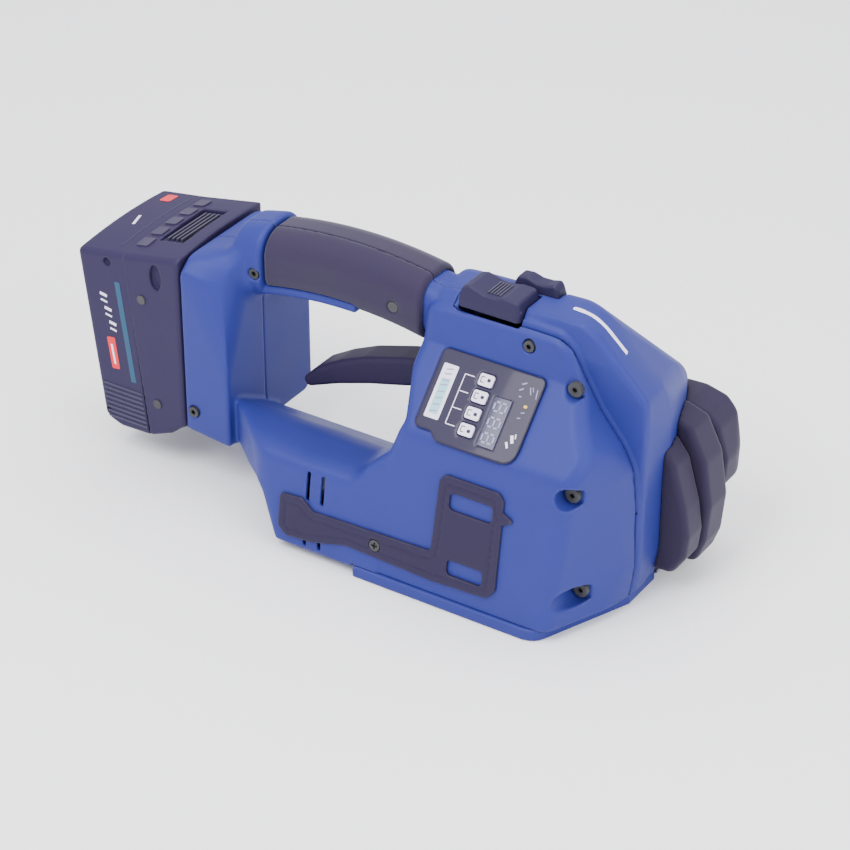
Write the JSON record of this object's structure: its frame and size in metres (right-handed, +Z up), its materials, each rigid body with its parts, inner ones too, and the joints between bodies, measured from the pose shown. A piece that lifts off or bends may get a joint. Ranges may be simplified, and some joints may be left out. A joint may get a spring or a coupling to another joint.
{
  "type": "battery strapping tool",
  "caption": "Hand-held battery strapping tool: arched handle over a lift lever, keypad, top buttons, slide-on battery, and tension and friction-weld heads over a base plate.",
  "frame": {"origin": "centre of the tool's footprint box, on the surface it rests on", "axes": "+X to the nose bumper, +Y to the open strap side, +Z up; the battery is at -X"},
  "size_m": [0.35, 0.14, 0.1575],
  "materials": {
    "housing_blue": "fine moulded texture",
    "grip_dark": "soft-touch moulding",
    "trim_dark": "satin moulding",
    "bumper_rubber": "moulded rubber",
    "keypad_film": "printed film",
    "key_white": "printed film",
    "display": "tinted window",
    "button_dark": "satin moulding",
    "battery_dark": "satin moulding",
    "cell_wrap": "shrink wrap over metal can",
    "steel": "machined",
    "dark_steel": "black oxide",
    "cast_alloy": "die cast",
    "motor_steel": "zinc plated",
    "winding": "laminations and copper",
    "bearing_steel": "polished",
    "belt_rubber": "toothed belt",
    "board_green": "solder mask",
    "switch_plastic": "moulded"
  },
  "bodies": {
    "tool_body": {"right_housing": "housing_blue", "left_housing": "housing_blue", "housing_screws": "dark_steel", "bottom_cover": "housing_blue", "rear_foot": "bumper_rubber", "grip_right": "grip_dark", "grip_left": "grip_dark", "grip_strip": "grip_dark", "side_trim": "trim_dark", "keypad_panel": "keypad_film", "display_window": "display", "control_board": "board_green", "button_switches": "switch_plastic", "bumper_inner": "bumper_rubber", "bumper_middle": "bumper_rubber", "bumper_outer": "bumper_rubber", "lever_pin": "steel", "lever_bracket": "steel", "lever_spring": "steel", "base_plate": "steel", "gripper_plate": "steel", "weld_anvil": "steel", "main_frame": "steel", "base_screws": "steel", "shaft_bearings": "bearing_steel", "gear_case": "cast_alloy", "motor_can": "motor_steel", "strap_guides": "steel", "side_cover": "dark_steel", "cover_screws": "dark_steel", "battery_dock": "trim_dark", "rocker_spring": "steel"},
    "lever": {"lever": "trim_dark"},
    "rocker": {"rocker_arm": "steel", "tension_belt": "belt_rubber"},
    "tension_wheel": {"tension_wheel": "steel", "wheel_shaft": "steel", "wheel_pulley": "cast_alloy"},
    "motor_rotor": {"motor_rotor": "winding", "bevel_pinion": "steel"},
    "cross_shaft": {"cross_shaft": "steel", "bevel_wheel": "steel", "drive_pulleys": "cast_alloy"},
    "weld_arm": {"weld_arm": "steel", "cutter_blade": "steel", "weld_belt": "belt_rubber"},
    "eccentric": {"eccentric_shaft": "steel", "eccentric_pulley": "cast_alloy"},
    "weld_shoe": {"weld_shoe": "steel"},
    "tension_button": {"tension_button": "button_dark"},
    "weld_button": {"weld_button": "button_dark"},
    "key_1": {"key_1": "key_white"},
    "key_2": {"key_2": "key_white"},
    "key_3": {"key_3": "key_white"},
    "key_4": {"key_4": "key_white"},
    "battery_pack": {"battery_inner": "battery_dark", "battery_outer": "battery_dark", "battery_cells": "cell_wrap", "pack_screws": "dark_steel"},
    "battery_latch": {"battery_latch": "button_dark"}
  },
  "joints": [
    {"name": "rocker_lift", "type": "hinge", "parent": "tool_body", "child": "rocker", "pos_m": [0.086, 0.028, 0.033], "axis": [0, -1, 0], "range_deg": [0, 10], "stiffness_Nm_per_rad": 2, "springref_deg": -11.46, "deforming": ["rocker_spring"]},
    {"name": "lever_pull", "type": "hinge", "parent": "tool_body", "child": "lever", "pos_m": [0.036, 0, 0.098], "axis": [0, 1, 0], "range_deg": [0, 15.5], "stiffness_Nm_per_rad": 0.5, "springref_deg": -11.46},
    {"name": "wheel_spin", "type": "hinge", "parent": "rocker", "child": "tension_wheel", "pos_m": [0.122, 0.045, 0.027], "axis": [0, 1, 0], "continuous": true},
    {"name": "motor_spin", "type": "hinge", "parent": "tool_body", "child": "motor_rotor", "pos_m": [0, -0.038, 0.033], "axis": [1, 0, 0], "continuous": true},
    {"name": "cross_spin", "type": "hinge", "parent": "tool_body", "child": "cross_shaft", "pos_m": [0.086, 0, 0.033], "axis": [0, 1, 0], "continuous": true},
    {"name": "weld_press", "type": "hinge", "parent": "tool_body", "child": "weld_arm", "pos_m": [0.086, 0.032, 0.033], "axis": [0, -1, 0], "range_deg": [0, 4], "stiffness_Nm_per_rad": 2, "springref_deg": -17.19},
    {"name": "eccentric_spin", "type": "hinge", "parent": "weld_arm", "child": "eccentric", "pos_m": [0.057, 0.025, 0.024], "axis": [0, 1, 0], "continuous": true},
    {"name": "shoe_slide", "type": "slide", "parent": "weld_arm", "child": "weld_shoe", "axis": [0, 1, 0], "range_m": [-0.0012, 0.0012]},
    {"name": "tension_button_press", "type": "slide", "parent": "tool_body", "child": "tension_button", "axis": [0, 0, -1], "range_m": [0, 0.002], "stiffness_N_per_m": 800, "springref_m": -0.002},
    {"name": "weld_button_press", "type": "slide", "parent": "tool_body", "child": "weld_button", "axis": [0, 0, -1], "range_m": [0, 0.002], "stiffness_N_per_m": 800, "springref_m": -0.002},
    {"name": "key_1_press", "type": "slide", "parent": "tool_body", "child": "key_1", "axis": [0, 0.7169, -0.6972], "range_m": [0, 0.0005], "stiffness_N_per_m": 1500, "springref_m": -0.0005},
    {"name": "key_2_press", "type": "slide", "parent": "tool_body", "child": "key_2", "axis": [0, 0.7169, -0.6972], "range_m": [0, 0.0005], "stiffness_N_per_m": 1500, "springref_m": -0.0005},
    {"name": "key_3_press", "type": "slide", "parent": "tool_body", "child": "key_3", "axis": [0, 0.7169, -0.6972], "range_m": [0, 0.0005], "stiffness_N_per_m": 1500, "springref_m": -0.0005},
    {"name": "key_4_press", "type": "slide", "parent": "tool_body", "child": "key_4", "axis": [0, 0.7169, -0.6972], "range_m": [0, 0.0005], "stiffness_N_per_m": 1500, "springref_m": -0.0005},
    {"name": "pack_slide", "type": "slide", "parent": "tool_body", "child": "battery_pack", "axis": [0, 0, 1], "range_m": [0, 0.11]},
    {"name": "latch_press", "type": "slide", "parent": "battery_pack", "child": "battery_latch", "axis": [0, 0, -1], "range_m": [0, 0.002], "stiffness_N_per_m": 800, "springref_m": -0.002}
  ],
  "couplings": [
    {"joint": "lever_pull", "follows": "rocker_lift", "ratio": 1.55},
    {"joint": "cross_spin", "follows": "motor_spin", "ratio": 0.5}
  ]
}
